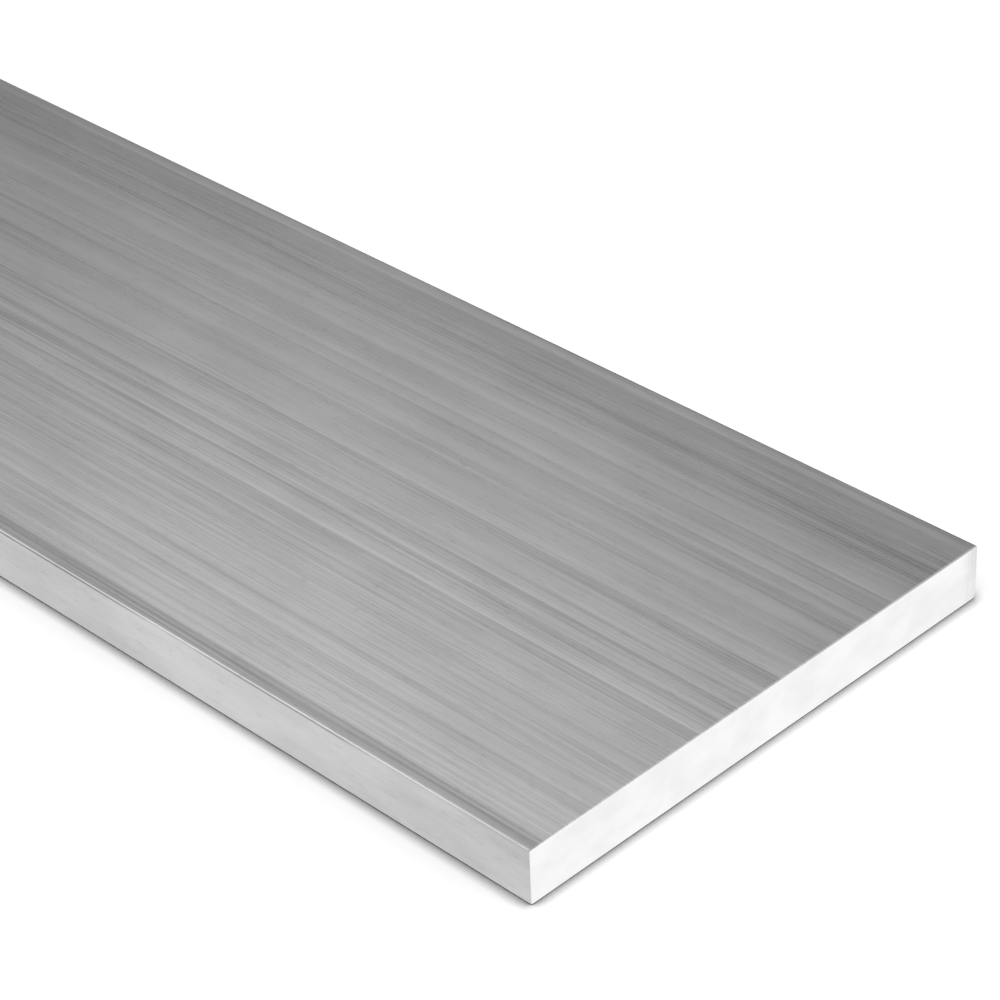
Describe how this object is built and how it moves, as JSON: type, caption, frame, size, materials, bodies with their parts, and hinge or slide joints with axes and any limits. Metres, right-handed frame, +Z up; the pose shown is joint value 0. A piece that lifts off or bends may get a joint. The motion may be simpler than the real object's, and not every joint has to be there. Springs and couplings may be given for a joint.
{
  "type": "metal flat bar",
  "caption": "Solid aluminium flat bar with a wide rectangular section, small die radii on its long corners and square sawn, deburred ends.",
  "frame": {"origin": "on the surface that the bar lies on, under the middle of the bar", "axes": "+X along the bar, +Y across its wide face, +Z up through its thickness"},
  "size_m": [1, 0.1, 0.01],
  "materials": {
    "mill_finish_aluminium": "mill finish: fine die lines along the bar, satin sawn ends"
  },
  "bodies": {
    "root": {"flat_bar": "mill_finish_aluminium"}
  },
  "joints": []
}
